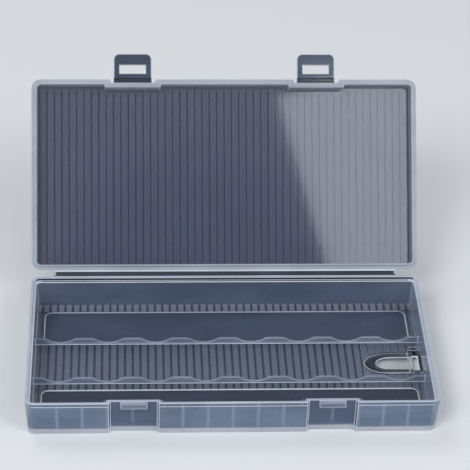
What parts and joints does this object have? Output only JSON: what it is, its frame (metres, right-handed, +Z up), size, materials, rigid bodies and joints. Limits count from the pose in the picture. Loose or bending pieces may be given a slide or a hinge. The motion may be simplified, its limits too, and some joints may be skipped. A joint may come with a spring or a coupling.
{
  "type": "battery storage box",
  "caption": "Clear flat storage box for a row of round cells, with a hinged lid, two latch tabs, cradle ribs and a fold-out hanging loop.",
  "frame": {"origin": "on the surface that the box stands on, under the middle of the whole box as it stands open", "axes": "+X along the box to the right, towards the hanging loop; +Y from the latches to the hinge; +Z up"},
  "size_m": [0.156, 0.1372, 0.0839],
  "materials": {
    "tray_plastic": "clear moulded polypropylene, slightly milky",
    "lid_plastic": "clear moulded polypropylene, smooth inside and fluted outside",
    "film_plastic": "thin flexed polypropylene",
    "tab_plastic": "clear moulded polypropylene, slightly milky",
    "loop_plastic": "clear hard plastic, polished"
  },
  "bodies": {
    "tray": {"base_tray": "tray_plastic", "lid_hinge_film": "film_plastic"},
    "lid": {"lid": "lid_plastic", "latch_film_left": "film_plastic", "latch_film_right": "film_plastic"},
    "latch_left": {"latch_tab_left": "tab_plastic"},
    "latch_right": {"latch_tab_right": "tab_plastic"},
    "hanger": {"hanger_loop": "loop_plastic"}
  },
  "joints": [
    {"name": "lid_hinge", "type": "hinge", "parent": "tray", "child": "lid", "pos_m": [0, 0.00991, 0.01595], "axis": [1, 0, 0], "range_deg": [-51.1, 128.9], "deforming": ["lid_hinge_film"]},
    {"name": "latch_left_hinge", "type": "hinge", "parent": "lid", "child": "latch_left", "pos_m": [-0.0372, 0.06119, 0.07488], "axis": [1, 0, 0], "range_deg": [-30, 90], "deforming": ["latch_film_left"]},
    {"name": "latch_right_hinge", "type": "hinge", "parent": "lid", "child": "latch_right", "pos_m": [0.0372, 0.06119, 0.07488], "axis": [1, 0, 0], "range_deg": [-30, 90], "deforming": ["latch_film_right"]},
    {"name": "hanger_swing", "type": "hinge", "parent": "tray", "child": "hanger", "pos_m": [0.0738, -0.03009, 0.0013], "axis": [0, -1, 0], "range_deg": [0, 180]}
  ]
}
